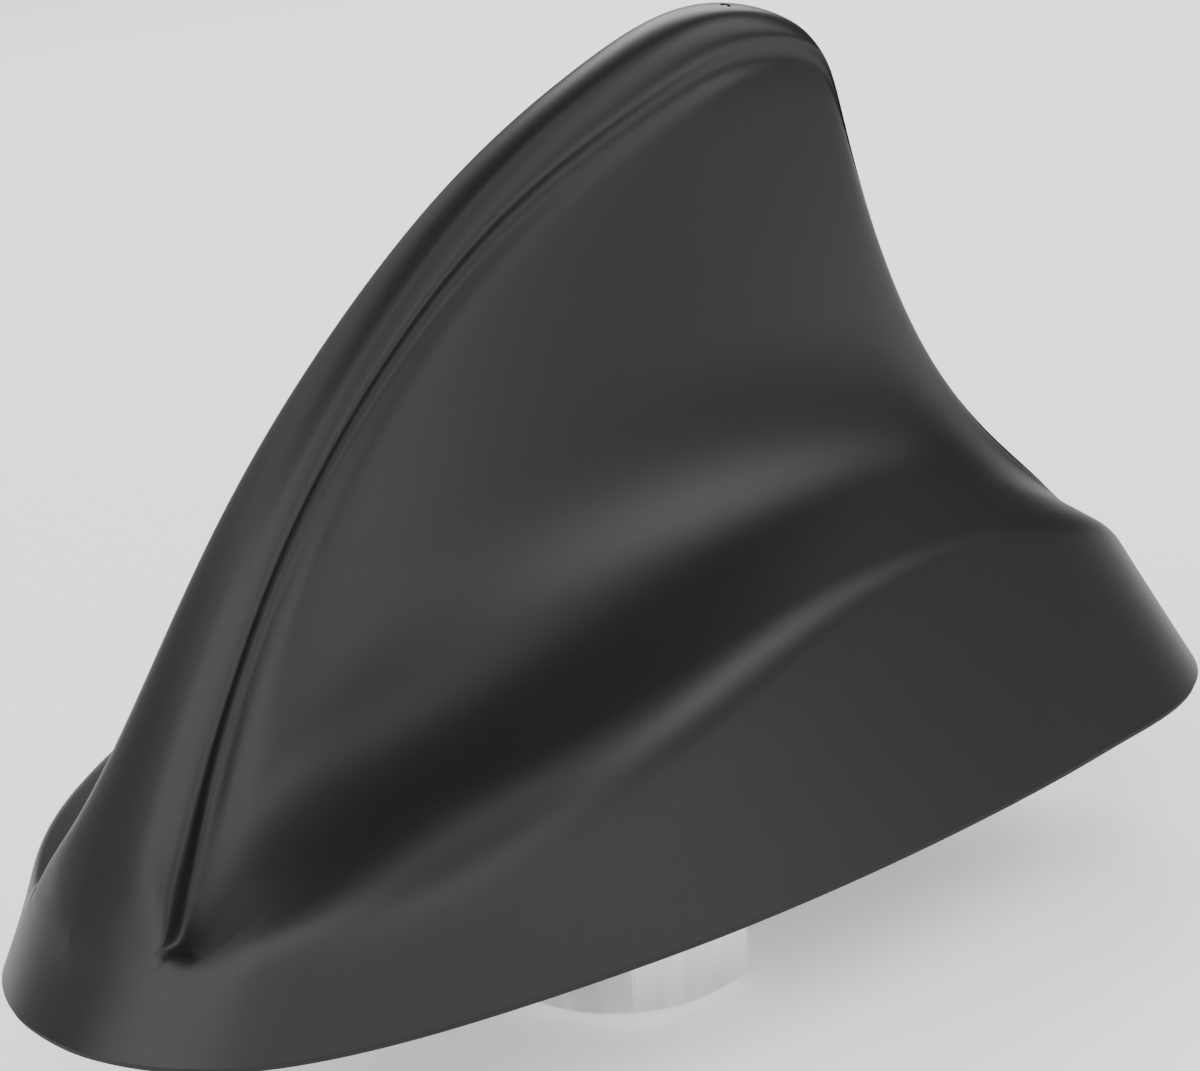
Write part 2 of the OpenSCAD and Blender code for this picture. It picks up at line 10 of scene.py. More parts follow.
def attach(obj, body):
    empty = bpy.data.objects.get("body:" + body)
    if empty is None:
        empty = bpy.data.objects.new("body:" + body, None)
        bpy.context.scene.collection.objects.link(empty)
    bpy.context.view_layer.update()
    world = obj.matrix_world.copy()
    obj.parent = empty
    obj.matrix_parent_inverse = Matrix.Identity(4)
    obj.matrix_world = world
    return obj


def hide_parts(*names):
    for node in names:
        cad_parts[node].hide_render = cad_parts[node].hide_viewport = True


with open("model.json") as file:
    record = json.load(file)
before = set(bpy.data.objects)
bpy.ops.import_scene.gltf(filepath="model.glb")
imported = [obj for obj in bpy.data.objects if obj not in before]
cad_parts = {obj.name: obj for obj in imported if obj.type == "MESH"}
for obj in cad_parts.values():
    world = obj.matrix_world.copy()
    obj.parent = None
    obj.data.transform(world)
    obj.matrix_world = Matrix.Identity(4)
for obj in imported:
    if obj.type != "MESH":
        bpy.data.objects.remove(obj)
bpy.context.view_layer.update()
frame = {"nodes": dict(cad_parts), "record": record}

# Main sizes in millimetres, in the frame of the part: origin on the stud's axis at the roof face
MM = 0.001
STUD_X = 67.0
LIP = 0.6
WALL = 2.3
SLOT = 0.9
CAVE_FROM, CAVE_TO = 4.7, 14.4
RECESS = (2.35, 3.2)
BAND = (2.0, 5.0)
LEDGE = 0.5

# Counts along and across the fine skin, and the column of the crease under the band
SKIN_STATIONS = 385
CAVE_STATIONS = 61
CREASE_COLUMN = 55

# Softening of the crease: rounds of smoothing, more of them near the nose, and the share per round
SMOOTH_ROUNDS = 34
EXTRA_ROUNDS = 26
SMOOTH_SHARE = 0.7

# Groove in the crease, with its reach over the flank and over the band, and the ledge beside it
GROOVE_DEPTH = 0.42
GROOVE_REACH = (2.2, 4.0)
LEDGE_RISE = 0.3
LEDGE_WIDTH = 2.6
LEDGE_FADE = 9

# Nut below the roof face, and the hollow stud with its thread
NUT_AF = 24.0
NUT_H = 8.0
NUT_TOP = 8.8
NUT_TURN = -6.3
NUT_BORE_R = 7.55
STUD_BORE_R = 5.5
STUD_END = -17.8
THREAD_PITCH = 1.5
THREAD_MAJOR_R = 8.0
THREAD_MINOR_R = 7.2

# Screw bosses in the cover: place and top of each, then their common sizes
BOSSES = ((-40, 12, 18.3), (-40, -12, 18.3), (55, 8, 19.3), (55, -8, 19.3))
BOSS_R = 3.2
BOSS_HOLE_R = 1.3
BOSS_FOOT = 5.1
BOSS_HOLE_TOP = 15.5

# Station of the gate mark on the spine
MARK_STATION = 10.15

# Camera: turn, height and roll in degrees, the point it looks at, its shift and distance, its focal
# length in pixels of the picture, and the picture's width
VIEW_AZIMUTH = 38.00
VIEW_ELEVATION = 17.69
VIEW_ROLL = 4.58
VIEW_TARGET = (72.5, 0, 23.387)
VIEW_SHIFT = (-4.08, 4.15)
VIEW_DISTANCE = 318.06
FOCAL_PIXELS = 3169.7
PICTURE_WIDTH = 1200
SENSOR_WIDTH = 36

# Distance of the lights and the height that they face, in metres
CARD_DISTANCE = 1.0
CARD_AIM = 0.03

# One row for each station round the cover, from the nose to the tail: rim x and y,
# shoulder x y z, spine x z, flank foot y z, flank half width under the band, depth of the band,
# step of the band, rounding at the shoulder, rounding at the foot, fullness of the spine
ROWS = np.array([
    [0, 0, 2.1, 0, 3.8, 4.2, 7.9, 0, 5.2, 0, 2.4, 0, 4, 4, 2],
    [0.3, 5.9, 3, 6.2, 4.3, 4.5, 8.4, 5.8, 5.6, 4.7, 3.1, 0, 4, 4, 2],
    [2.9, 12.5, 6.1, 11.9, 6.2, 5.6, 10.4, 11.2, 7, 11, 5.5, 0.1, 3, 3, 2],
    [5.9, 16.7, 9.1, 14.6, 7.9, 7.4, 13.4, 12.7, 8, 10.6, 6.4, 0.2, 2, 2, 2],
    [9, 19.8, 11.5, 17.9, 10.2, 9.9, 17.3, 12.2, 9.8, 8.6, 7, 0.6, 3, 2.5, 2],
    [13.9, 22.7, 15.8, 21.5, 12.5, 14.2, 23.8, 11.6, 12.9, 6.3, 7.2, 1.3, 5, 4.5, 2.1],
    [21, 25.4, 22.2, 24.6, 14.4, 20.6, 33.6, 11.2, 17, 4.7, 6.7, 1.5, 7, 6.5, 2.1],
    [32.2, 27.9, 31.1, 27.3, 16.2, 31.8, 48.7, 10.9, 22.4, 3.4, 5.8, 1.5, 9, 9, 2.2],
    [54.5, 30.8, 52.6, 27.9, 20.6, 52.9, 67.3, 10.1, 30, 2.6, 5.5, 1.4, 8, 12, 2.2],
    [77.3, 30.6, 74.3, 23.6, 24.6, 73.5, 76.7, 8.3, 34.5, 3.3, 7.1, 1.2, 5, 13, 2.2],
    [94, 29.3, 90.9, 20.4, 24.6, 85.5, 80.1, 6.8, 35, 3.8, 5.8, 0.9, 3, 13, 2.2],
    [105.5, 27.9, 100.7, 18.3, 23.7, 98.1, 76, 5.9, 33.8, 3.6, 2.8, 0.5, 2.5, 12, 2.1],
    [114.4, 26.3, 108.2, 17.1, 22.5, 100, 68.2, 5.2, 32.1, 2.9, 1.6, 0.1, 2, 11, 2],
    [124.9, 25, 117.4, 15.1, 20.5, 106, 47.8, 4.1, 27.7, 2.2, 1.1, 0, 2, 8, 2],
    [134.4, 20.1, 127.8, 11.6, 17.1, 115.5, 32, 2.9, 21, 1.7, 1, 0, 2, 5, 2],
    [141, 10.6, 135.1, 7.3, 13.3, 127.7, 21.1, 1.8, 16.4, 1.4, 1.1, 0, 2, 2, 2],
    [145, 0, 138.2, 0, 11.4, 132.8, 16.6, 0, 12.9, 0, 1.2, 0, 2, 1, 2],
])
SWAP = np.array([1, -1, 1, -1, 1, 1, 1, -1, 1, -1, 1, -1, 1, 1, 1.0])
LAST = len(ROWS) - 1
PADDED = np.concatenate([[ROWS[1] * SWAP], ROWS, [ROWS[-2] * SWAP]])


def blend(rows, s):
    """Point of a uniform cubic spline between the middle two of four rows."""
    a, b, c, d = rows
    return ((1 - s) ** 3 * a + (3 * s**3 - 6 * s**2 + 4) * b
            + (-3 * s**3 + 3 * s**2 + 3 * s + 1) * c + s**3 * d) / 6


def station(t):
    """Values of the section at a place from 0 at the nose to LAST at the tail."""
    k = min(int(math.floor(t)), LAST - 1)
    return blend(PADDED[k:k + 4], t - k)


def toward(a, b, s):
    """Point a distance s from a toward b, short of the middle."""
    gap = np.linalg.norm(b - a)
    return a if gap < 1e-6 else a + (b - a) * min(s / gap, 0.44)


def bend(a, b, c, s, n):
    """Rounded corner at b, as n points of a curve that starts and ends s away."""
    p, q = toward(b, a, s), toward(b, c, s)
    u = np.linspace(0, 1, n)[:, None]
    return (1 - u) ** 2 * p + 2 * u * (1 - u) * b + u**2 * q


def between(a, b, n):
    """Points spaced evenly between a and b, without the ends."""
    u = (np.arange(1, n + 1) / (n + 1))[:, None]
    return a + (b - a) * u


def ramp(t, span):
    """Smooth step from 0 to 1 over the span."""
    w = min(1, max(0, (t - span[0]) / (span[1] - span[0])))
    return w * w * (3 - 2 * w)


def recessed(r, t):
    """Half section with the recess in the flank, from the rim up to the spine."""
    early = 1 - ramp(t, (3, 6.5))
    e = np.array([r[0], -r[1], 0.0])
    sh = np.array([r[2], -r[3], r[4]])
    top = np.array([r[5], 0.0, r[6]])
    d = (sh - top) * np.array([1, 0, 1])
    drop = np.linalg.norm(d)
    d = d / drop
    deep = min(r[10], drop * 0.98)
    k = (r[8] - r[4]) / max(r[6] - r[4], 0.001)
    ft = np.array([r[2] + (r[5] - r[2]) * k, -r[7], r[8]])
    g = top + d * deep + np.array([0, -r[9], 0])
    gi = g + np.array([0, min(LEDGE, r[9] * 0.3) * (1 - 0.6 * early), 0])
    step = r[11] * (1 - 0.55 * early)
    lip = g + (ft - g) * min(1.7 / max(np.linalg.norm(ft - g), 0.001), 0.3)
    b = top + d * deep * 0.72 + np.array([0, -r[9] - step, 0])
    h = top + d * deep * 0.55 + np.array([0, -r[9] - step, 0])
    crisp = 1 - 0.45 * ramp(t, (6, 8)) * (1 - ramp(t, (11, 13)))
    c1 = bend(e, sh, ft, r[12] * crisp, 13)
    c2 = bend(sh, ft, lip, r[13], 13)
    cl = bend(ft, lip, gi, 0.9 + 1.2 * early, 7)
    c3 = bend(lip, gi, b, 0.7 + 1.0 * early, 6)
    c4 = bend(gi, b, h, 2.4, 9)
    s0 = c4[-1]
    u = np.sin(np.linspace(0, math.pi / 2, 15)[1:])[:, None]
    arc = s0 + (top - s0) * u
    arc[:, 1] = s0[1] * np.sqrt(np.maximum(0, 1 - u[:, 0] ** r[14]))
    low = [[e], between(e, c1[0], 5), c1, between(c1[-1], c2[0], 4), c2,
           between(c2[-1], cl[0], 7), cl, c3]
    groove = sum(len(part) for part in low) - 1
    raw = np.concatenate(low + [c4, arc])
    return raw, groove, groove + 9


def cubic(a, b, c, d, q):
    """Point of the cubic curve from a to d."""
    return (1 - q) ** 3 * a + 3 * q * (1 - q) ** 2 * b + 3 * q**2 * (1 - q) * c + q**3 * d


def section(t):
    """Round the nose the section is a full curve, and the recess sets in behind it."""
    r = station(t)
    raw, groove, band = recessed(r, t)
    if t >= BAND[1]:
        return raw
    e = np.array([r[0], -r[1], 0.0])
    sh = np.array([r[2], -r[3], r[4]])
    top = np.array([r[5], 0.0, r[6]])
    v = sh - top
    c = abs(v[1]) / np.linalg.norm(v)
    a1 = e + (sh - e) * 1.25
    a2 = top + 0.7 * v * np.array([1 - c, 1, 1 - c])
    n = len(raw)
    q = np.arange(n) / (n - 1)
    if t > 1:
        lo, hi = np.zeros(n), np.ones(n)
        for _ in range(30):
            m = (lo + hi) / 2
            under = cubic(e[1], a1[1], a2[1], 0, m) < raw[:, 1]
            lo, hi = np.where(under, m, lo), np.where(under, hi, m)
        q = q + (lo - q) * ramp(t, (1, 2.5))
        q[0], q[-1] = 0, 1
    whole = cubic(e, a1, a2, top, q[:, None])
    f = np.clip((np.arange(n) - groove) / (band - groove), 0, 1)
    w = ramp(t, RECESS) + (ramp(t, BAND) - ramp(t, RECESS)) * f
    return whole + (raw - whole) * w[:, None]


def cave_row(k):
    """Values of the cavity's section, moved in by the wall from those of the outside."""
    r = ROWS[k]
    a, b = PADDED[k], PADDED[k + 2]
    v = np.array([b[0] - a[0], b[1] - a[1]])
    n = np.array([v[1], -v[0]]) / np.linalg.norm(v)
    a, b = ROWS[max(k - 1, 0)], ROWS[min(k + 1, LAST)]
    v = np.array([b[5] - a[5], b[6] - a[6]])
    m = np.array([v[1], -v[0]]) / np.linalg.norm(v)
    thin = max(SLOT, r[9] - WALL - 1.2)
    back = WALL + max(0, 2 * (WALL + SLOT - r[9])) + 0.8
    return np.array([
        r[0] + n[0] * WALL, r[1] + n[1] * WALL,
        r[2] + n[0] * WALL * 1.1, max(r[3] + n[1] * WALL * 1.15, 1.5), r[4] - WALL,
        r[5] + m[0] * back, r[6] + m[1] * back,
        max(r[7] - WALL * 1.05, SLOT), r[8] - WALL, thin])


def cave_section(t):
    """Half section of the cavity, from the rim up to the slot in the fin."""
    k = int(math.floor(t))
    r = blend([cave_row(k - 1), cave_row(k), cave_row(k + 1), cave_row(min(k + 2, LAST))], t - k)
    o = station(t)
    e = np.array([r[0], -r[1], 0])
    sh = np.array([r[2], -r[3], r[4]])
    u = (r[8] - r[4]) / (r[6] - r[4])
    ft = np.array([r[2] + (r[5] - r[2]) * u, -r[7], r[8]])
    top = np.array([r[5], -r[9], r[6]])
    return np.concatenate([[e], [e + (sh - e) * 0.3], bend(e, sh, ft, o[12], 6),
                           bend(sh, ft, top, o[13], 6), [ft + (top - ft) * 0.75], [top]])


def link(name, data):
    piece = bpy.data.objects.new(name, data)
    bpy.context.scene.collection.objects.link(piece)
    return piece


def mesh_piece(name, verts, faces):
    """Object from vertices and faces, with doubles merged and no loose edges."""
    mesh = bpy.data.meshes.new(name)
    mesh.from_pydata([tuple(v) for v in verts], [], [tuple(f) for f in faces])
    bm = bmesh.new()
    bm.from_mesh(mesh)
    bmesh.ops.remove_doubles(bm, verts=bm.verts, dist=1e-6)
    bmesh.ops.delete(bm, geom=[e for e in bm.edges if not e.link_faces], context="EDGES")
    bmesh.ops.recalc_face_normals(bm, faces=bm.faces)
    bm.to_mesh(mesh)
    bm.free()
    return link(name, mesh)


def soften(grid, stations_t):
    """Round the crease under the band, most of all where it starts behind the nose."""
    groove = CREASE_COLUMN
    across = np.array([min(ramp(j, (groove - 16, groove - 8)), 1 - ramp(j, (groove + 12, groove + 18)))
                       for j in range(grid.shape[1])])
    along = np.array([ramp(t, (1.6, 2.2)) * (1 - ramp(t, (12, 14))) for t in stations_t])
    rounds = np.array([SMOOTH_ROUNDS + EXTRA_ROUNDS * (1 - ramp(t, (3.4, 5.5))) for t in stations_t])
    for k in range(SMOOTH_ROUNDS + EXTRA_ROUNDS):
        weight = (along * (rounds > k))[:, None] * across[None]
        mean = grid.copy()
        mean[1:-1, 1:-1] = (grid[2:, 1:-1] + grid[:-2, 1:-1] + grid[1:-1, 2:] + grid[1:-1, :-2]) / 4
        grid = grid + (mean - grid) * SMOOTH_SHARE * weight[:, :, None]
    # The surface sinks a little into the crease, and the flank rises to a soft ledge beside it
    crease = grid[:, groove]
    away = np.array([[np.linalg.norm(crease - p, axis=1).min() for p in row] for row in grid])
    rise = np.clip(away / LEDGE_WIDTH, 0, 1)
    rise = rise * rise * (3 - 2 * rise) * np.exp(-np.maximum(0, away - LEDGE_WIDTH) / LEDGE_FADE)
    normal = np.cross(np.gradient(grid, axis=0), np.gradient(grid, axis=1))
    normal /= np.maximum(np.linalg.norm(normal, axis=2, keepdims=True), 1e-9)
    normal *= np.where(normal[:, :, 1:2] > 0, -1, 1)
    cols = range(grid.shape[1])
    flank = np.array([ramp(j, (18, 36)) * (j <= groove) for j in cols])
    free = np.array([ramp(j, (18, 36)) * (1 - ramp(j, (68, 76))) for j in cols])
    along = np.array([ramp(t, (4.3, 5.6)) * (1 - ramp(t, (9.6, 11))) for t in stations_t])
    reach = np.array([GROOVE_REACH[0] if j <= groove else GROOVE_REACH[1] for j in cols])
    lift = LEDGE_RISE * rise * flank - GROOVE_DEPTH * np.exp(-(away / reach) ** 2) * free
    return grid + normal * (lift * along[:, None])[:, :, None]


def cover_mesh():
    """Closed shell: outer skin, cavity, end walls of the cavity and the ring at the rim."""
    n_st = SKIN_STATIONS
    outer_t = np.linspace(0, LAST, n_st)
    near = soften(np.array([section(t) for t in outer_t]), outer_t)
    outer = np.array([np.concatenate([s, (s * np.array([1, -1, 1]))[-2::-1]]) for s in near])
    n_out = outer.shape[1]
    cave_t = np.linspace(CAVE_FROM, CAVE_TO, CAVE_STATIONS)
    inner = [cave_section(t) for t in cave_t]
    inner = np.array([np.concatenate([s, (s * np.array([1, -1, 1]))[::-1]]) for s in inner])
    n_cave, n_in = inner.shape[:2]
    base = n_st * n_out
    faces = []

    def po(i, j):
        return i * n_out + j

    def pi(i, j):
        return base + i * n_in + j

    for i in range(n_st - 1):
        for j in range(n_out - 1):
            faces.append((po(i, j), po(i, j + 1), po(i + 1, j + 1), po(i + 1, j)))
    for i in range(n_cave - 1):
        for j in range(n_in - 1):
            faces.append((pi(i, j), pi(i + 1, j), pi(i + 1, j + 1), pi(i, j + 1)))
    for i in (0, n_cave - 1):
        for j in range(n_in // 2 - 1):
            faces.append((pi(i, j), pi(i, j + 1), pi(i, n_in - 2 - j), pi(i, n_in - 1 - j)))
    tie = [int(round(t / LAST * (n_st - 1))) for t in cave_t]
    for o_j, i_j in ((0, 0), (n_out - 1, n_in - 1)):
        for i in range(n_cave - 1):
            for k in range(tie[i], tie[i + 1]):
                faces.append((po(k, o_j), po(k + 1, o_j), pi(i, i_j)))
            faces.append((pi(i, i_j), po(tie[i + 1], o_j), pi(i + 1, i_j)))
        for k in range(tie[0]):
            faces.append((po(k, o_j), po(k + 1, o_j), pi(0, i_j)))
        for k in range(tie[-1], n_st - 1):
            faces.append((po(k, o_j), po(k + 1, o_j), pi(n_cave - 1, i_j)))
    faces.append((po(0, 0), pi(0, 0), pi(0, n_in - 1)))
    faces.append((po(n_st - 1, 0), pi(n_cave - 1, n_in - 1), pi(n_cave - 1, 0)))
    verts = np.concatenate([outer.reshape(-1, 3), inner.reshape(-1, 3)])
    verts[:, 0] -= STUD_X
    verts[:, 2] += LIP
    return verts * MM, faces


def closed_rings(rings):
    """Faces that join closed rings of points, one ring after the next and back to the first."""
    m, n = len(rings), len(rings[0])
    faces = []
    for i in range(m):
        for j in range(n):
            i_next, j_next = (i + 1) % m, (j + 1) % n
            faces.append((i * n + j, i_next * n + j, i_next * n + j_next, i * n + j_next))
    return [p for ring in rings for p in ring], faces


def lathe(name, profile, sides, x=0, y=0):
    """Solid turned about an upright axis from a closed profile of (radius, height)."""
    rings = []
    for i in range(sides):
        a = 2 * math.pi * i / sides
        rings.append([((x + r * math.cos(a)) * MM, (y + r * math.sin(a)) * MM, z * MM)
                      for r, z in profile])
    return mesh_piece(name, *closed_rings(rings))


def combine(piece, tool, how):
    """Join the tool to the piece or cut it out of it."""
    mod = piece.modifiers.new(how, "BOOLEAN")
    mod.operation = how
    mod.solver = "EXACT"
    mod.object = tool
    bpy.context.view_layer.objects.active = piece
    bpy.ops.object.modifier_apply(modifier=mod.name)
    bpy.data.objects.remove(tool)


def nut_mesh(af, height, top, turn):
    """Hexagon nut with chamfered corners, eased edges and a countersunk bore."""
    r_in = af * 0.478
    slope = math.tan(math.radians(30))
    corner = af / 2 / math.cos(math.radians(30))
    bore = NUT_BORE_R
    rings = []
    for k in range(6):
        for s in (-30, -29.4, -28.8, -28, -26, -22, -16, -8, 0, 8, 16, 22, 26, 28, 28.8, 29.4):
            r = af / 2 / math.cos(math.radians(s))
            r = min(r, corner - 0.16 * max(0, 1 - (30 - abs(s)) / 1.5))
            c = max(0.02, (r - r_in) * slope)
            low = [(bore, 0.75), (bore + 0.37, 0.38), (bore + 0.7, 0.05), (bore + 0.78, 0),
                   (r_in - 0.15, 0), (r_in + 0.02, 0.03), (r - 0.12, c - 0.06), (r - 0.02, c + 0.1),
                   (r, c + 0.35)]
            ring = low + [(r, height / 2)] + [(rr, height - z) for rr, z in low[::-1]]
            a = math.radians(k * 60 + s + 30 + turn)
            rings.append([(rr * math.cos(a) * MM, rr * math.sin(a) * MM, (z - height - top) * MM)
                          for rr, z in ring])
    return closed_rings(rings)


def stud_mesh():
    """Hollow stud with its flange, and a helical thread down to its end."""
    major, minor, bore = THREAD_MAJOR_R, THREAD_MINOR_R, STUD_BORE_R
    sides = 72
    z_top, z_end = -3.0, STUD_END
    nut_from, nut_to = -NUT_TOP + 0.2, -NUT_TOP - NUT_H - 0.2
    heights = np.linspace(z_top, z_end, 149)
    head = [(bore + 0.5, 1), (bore + 0.5, 7), (10.8, 7), (11, 6.8), (11, 5), (8, 5), (8, -2.9)]
    tail = [(bore + 0.4, z_end), (bore, z_end + 0.4), (bore, 1)]
    rings = []
    for i in range(sides):
        a = 2 * math.pi * i / sides
        ring = list(head)
        for z in heights:
            tooth = max(0, min(1, 1.35 - abs((z / THREAD_PITCH + i / sides) % 1 - 0.5) * 3.4))
            # The nut's bore takes the crest within the nut
            inside = min(1, max(0, (nut_from - z) / 0.5)) * min(1, max(0, (z - nut_to) / 0.5))
            crest = major - 0.5 * inside
            root = minor + (crest - minor) * max(0, 1 - (z_top - z) / 0.9)
            r = root + (crest - root) * tooth
            ring.append((min(r, major - 1.1 + (z - z_end) * 1.3), z))
        ring += tail
        rings.append([(r * math.cos(a) * MM, r * math.sin(a) * MM, z * MM) for r, z in ring])
    return closed_rings(rings)


def finish_edges(piece, degrees):
    """Smooth shading, with the edges that bend more than the angle kept sharp."""
    piece.data.shade_smooth()
    bm = bmesh.new()
    bm.from_mesh(piece.data)
    limit = math.radians(degrees)
    for edge in bm.edges:
        edge.smooth = len(edge.link_faces) == 2 and edge.calc_face_angle(0) < limit
    bm.to_mesh(piece.data)
    bm.free()


# Materials
def principled(name):
    mat = bpy.data.materials.new(name)
    mat.use_nodes = True
    return mat, mat.node_tree.nodes, mat.node_tree.links, mat.node_tree.nodes["Principled BSDF"]


def grained(name, colour, rough, metal=0.0, scale=900.0, depth=0.00001, spread=0.06, tint=0.08,
            specular=0.5, stretch=(1, 1, 1)):
    """Colour, roughness and height that vary a little over a fine grain."""
    mat, nodes, links, shader = principled(name)
    shader.inputs["Metallic"].default_value = metal
    shader.inputs["Specular IOR Level"].default_value = specular
    coords = nodes.new("ShaderNodeTexCoord")
    squeeze = nodes.new("ShaderNodeMapping")
    squeeze.inputs["Scale"].default_value = stretch
    noise = nodes.new("ShaderNodeTexNoise")
    noise.inputs["Scale"].default_value = scale
    noise.inputs["Detail"].default_value = 4
    rough_map = nodes.new("ShaderNodeMapRange")
    rough_map.inputs["From Min"].default_value = 0.3
    rough_map.inputs["From Max"].default_value = 0.7
    rough_map.inputs["To Min"].default_value = rough - spread
    rough_map.inputs["To Max"].default_value = rough + spread
    shades = nodes.new("ShaderNodeValToRGB")
    shades.color_ramp.elements[0].position = 0.3
    shades.color_ramp.elements[1].position = 0.7
    shades.color_ramp.elements[0].color = (*[c * (1 - tint) for c in colour], 1)
    shades.color_ramp.elements[1].color = (*[min(1, c * (1 + tint)) for c in colour], 1)
    bump = nodes.new("ShaderNodeBump")
    bump.inputs["Distance"].default_value = depth
    bump.inputs["Strength"].default_value = 1.0
    links.new(coords.outputs["Object"], squeeze.inputs["Vector"])
    links.new(squeeze.outputs["Vector"], noise.inputs["Vector"])
    links.new(noise.outputs["Fac"], rough_map.inputs["Value"])
    links.new(noise.outputs["Fac"], shades.inputs["Fac"])
    links.new(noise.outputs["Fac"], bump.inputs["Height"])
    links.new(shades.outputs["Color"], shader.inputs["Base Color"])
    links.new(rough_map.outputs["Result"], shader.inputs["Roughness"])
    links.new(bump.outputs["Normal"], shader.inputs["Normal"])
    return mat


def wear(piece, mat):
    piece.data.materials.clear()
    piece.data.materials.append(mat)


MATERIALS = {
    "cover_plastic": grained("cover_plastic", (0.008, 0.008, 0.0082), 0.42, scale=4200,
                             spread=0.03, tint=0.05, specular=0.28),
    "seal_rubber": grained("seal_rubber", (0.018, 0.018, 0.018), 0.65),
    "gasket_rubber": grained("gasket_rubber", (0.012, 0.012, 0.012), 0.7, specular=0.3),
    "cast_alloy": grained("cast_alloy", (0.5, 0.5, 0.52), 0.5, 1.0, 1500, 0.00004),
    "plated_steel": grained("plated_steel", (0.55, 0.57, 0.53), 0.3, 1.0, 700, 0.000004),
    "nut_steel": grained("nut_steel", (0.68, 0.73, 0.68), 0.16, 1.0, 330, 0.0000015, 0.04, 0.1,
                         stretch=(1, 1, 0.12)),
    "screw_steel": grained("screw_steel", (0.6, 0.6, 0.62), 0.33, 1.0, 700, 0.000004),
    "board": grained("board", (0.02, 0.13, 0.06), 0.35, 0.0, 600, 0.000004),
    "tin_plate": grained("tin_plate", (0.68, 0.68, 0.7), 0.33, 1.0, 500, 0.000004),
    "black_plastic": grained("black_plastic", (0.015, 0.015, 0.015), 0.5),
    "foam": grained("foam", (0.72, 0.72, 0.68), 0.8, 0.0, 1200, 0.00005),
    "ceramic": grained("ceramic", (0.5, 0.43, 0.33), 0.55, 0.0, 900, 0.00001),
    "silver": grained("silver", (0.78, 0.78, 0.76), 0.42, 1.0, 900, 0.000006),
    "gilt_brass": grained("gilt_brass", (0.75, 0.58, 0.28), 0.28, 1.0, 500, 0.000003),
    "copper": grained("copper", (0.7, 0.36, 0.18), 0.32, 1.0, 500, 0.000003),
    "white_plastic": grained("white_plastic", (0.68, 0.68, 0.64), 0.5, 0.0, 900, 0.000008),
}
slots = {s["node"]: s["material_slot"] for s in frame["record"]["subparts"]}
replaced = {"cover", "mounting_nut", "mounting_stud"}
for name, node in frame["nodes"].items():
    if name not in replaced and slots.get(name) in MATERIALS:
        wear(node, MATERIALS[slots[name]])

# Cover with its screw bosses and the gate mark
cover_skin = mesh_piece("cover_skin", *cover_mesh())
for x, y, top in BOSSES:
    boss = [(BOSS_HOLE_R, BOSS_FOOT), (BOSS_R, BOSS_FOOT), (BOSS_R, top), (0, top),
            (0, BOSS_HOLE_TOP), (BOSS_HOLE_R, BOSS_HOLE_TOP)]
    combine(cover_skin, lathe("boss", boss, 48, x, y), "UNION")
mark = station(MARK_STATION)
seat = (Matrix.Translation(Vector((mark[5] - STUD_X, -1.3, mark[6] - 0.12 + LIP)) * MM)
        @ Matrix.Rotation(math.radians(10), 4, "X"))
dimple = lathe("dimple", [(0, -0.1), (0.22, -0.1), (0.25, -0.13), (0.27, -0.3), (0.52, -0.3),
                          (0.55, -0.27), (0.55, 0.8), (0, 0.8)], 40)
dimple.data.transform(seat)
combine(cover_skin, dimple, "DIFFERENCE")
finish_edges(cover_skin, 35)

nut_fine = mesh_piece("nut_fine", *nut_mesh(NUT_AF, NUT_H, NUT_TOP, NUT_TURN))
finish_edges(nut_fine, 22)
stud_fine = mesh_piece("stud_fine", *stud_mesh())
finish_edges(stud_fine, 40)

for piece, node in ((cover_skin, "cover"), (nut_fine, "mounting_nut"), (stud_fine, "mounting_stud")):
    wear(piece, MATERIALS[slots[node]])
    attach(piece, "root")
    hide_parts(node)

# Floor
half = 3.0
floor_mesh = bpy.data.meshes.new("floor")
floor_mesh.from_pydata([(-half, -half, 0), (half, -half, 0), (half, half, 0), (-half, half, 0)], [],
                       [(0, 1, 2, 3)])
floor = link("floor", floor_mesh)
floor.location = (0, 0, -0.01795)
mat, nodes, links, shader = principled("floor_paper")
shader.inputs["Base Color"].default_value = (0.95, 0.95, 0.95, 1)
shader.inputs["Roughness"].default_value = 1.0
shader.inputs["Specular IOR Level"].default_value = 0.0
shader.inputs["Emission Color"].default_value = (1, 1, 1, 1)
shader.inputs["Emission Strength"].default_value = 0.4
wear(floor, mat)

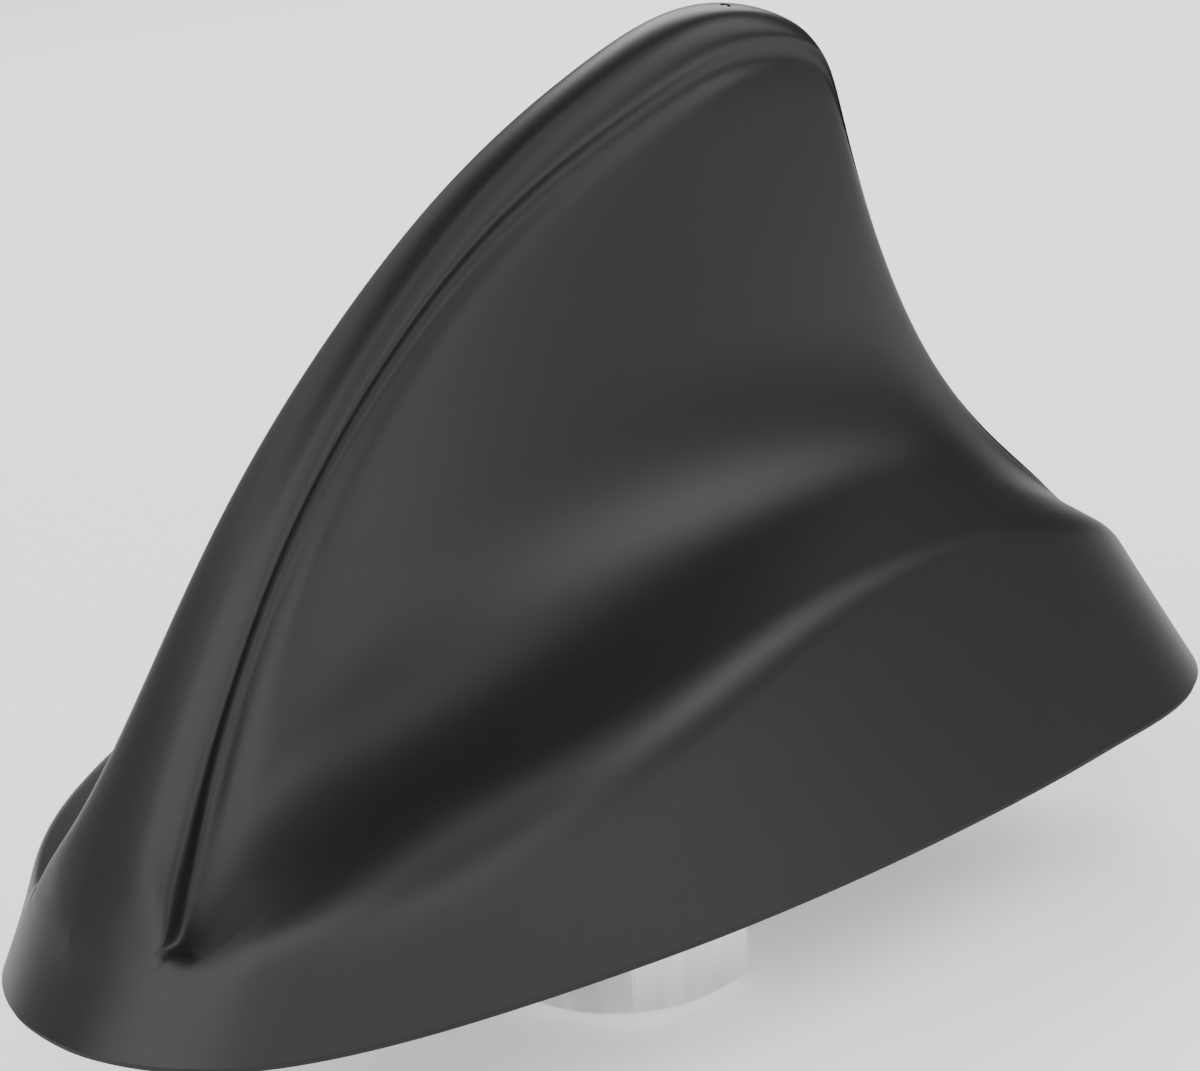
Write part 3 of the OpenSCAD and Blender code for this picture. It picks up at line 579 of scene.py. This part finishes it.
# Camera
az, el, roll = (math.radians(a) for a in (VIEW_AZIMUTH, VIEW_ELEVATION, VIEW_ROLL))
look = Vector((math.sin(az) * math.cos(el), math.cos(az) * math.cos(el), -math.sin(el)))
side = Vector((math.cos(az), -math.sin(az), 0))
up = side.cross(look)
right = math.cos(roll) * side - math.sin(roll) * up
above = math.sin(roll) * side + math.cos(roll) * up
target = Vector(VIEW_TARGET) + Vector((-STUD_X, 0, LIP))
eye = (target + VIEW_SHIFT[0] * right + VIEW_SHIFT[1] * above - VIEW_DISTANCE * look) * MM
cam_data = bpy.data.cameras.new("camera")
cam_data.sensor_width = SENSOR_WIDTH
cam_data.lens = FOCAL_PIXELS / PICTURE_WIDTH * SENSOR_WIDTH
cam_data.clip_start = 0.01
camera = link("camera", cam_data)
camera.rotation_mode = "QUATERNION"
camera.rotation_quaternion = Matrix((right, above, -look)).transposed().to_quaternion()
camera.location = eye
bpy.context.scene.camera = camera

# Light
world = bpy.data.worlds.new("studio")
bpy.context.scene.world = world
world.use_nodes = True
world.node_tree.nodes["Background"].inputs["Color"].default_value = (1, 1, 1, 1)
world.node_tree.nodes["Background"].inputs["Strength"].default_value = 0.02


def card(name, azimuth, elevation, size, radiance):
    """Soft light seen from the part at an azimuth from the front, in degrees."""
    a, e = math.radians(azimuth), math.radians(elevation)
    away = Vector((math.sin(a) * math.cos(e), -math.cos(a) * math.cos(e), math.sin(e)))
    data = bpy.data.lights.new(name, "AREA")
    data.shape = "RECTANGLE"
    data.size, data.size_y = size
    data.energy = radiance * math.pi * size[0] * size[1]
    lamp = link(name, data)
    lamp.location = Vector((0, 0, CARD_AIM)) + away * CARD_DISTANCE
    lamp.rotation_mode = "QUATERNION"
    lamp.rotation_quaternion = (-away).to_track_quat("-Z", "Y")
    return lamp


LOW, MID = (0.78, 0.40), (0.64, 0.40)
card("low_left", -90, 12, LOW, 4.6)
card("low_front_left", -45, 12, LOW, 2.2)
card("low_front", 0, 12, LOW, 4.2)
card("low_back", 180, 12, LOW, 0.6)
card("left", -90, 36, MID, 4.6)
card("front_left", -45, 36, MID, 5.4)
card("right", 45, 36, MID, 6.7)
card("back_right", 135, 36, MID, 9)
card("back", 180, 36, MID, 1.2)
card("back_left", -135, 36, MID, 2.3)
card("high_front", 0, 62, (0.52, 0.40), 2.9)
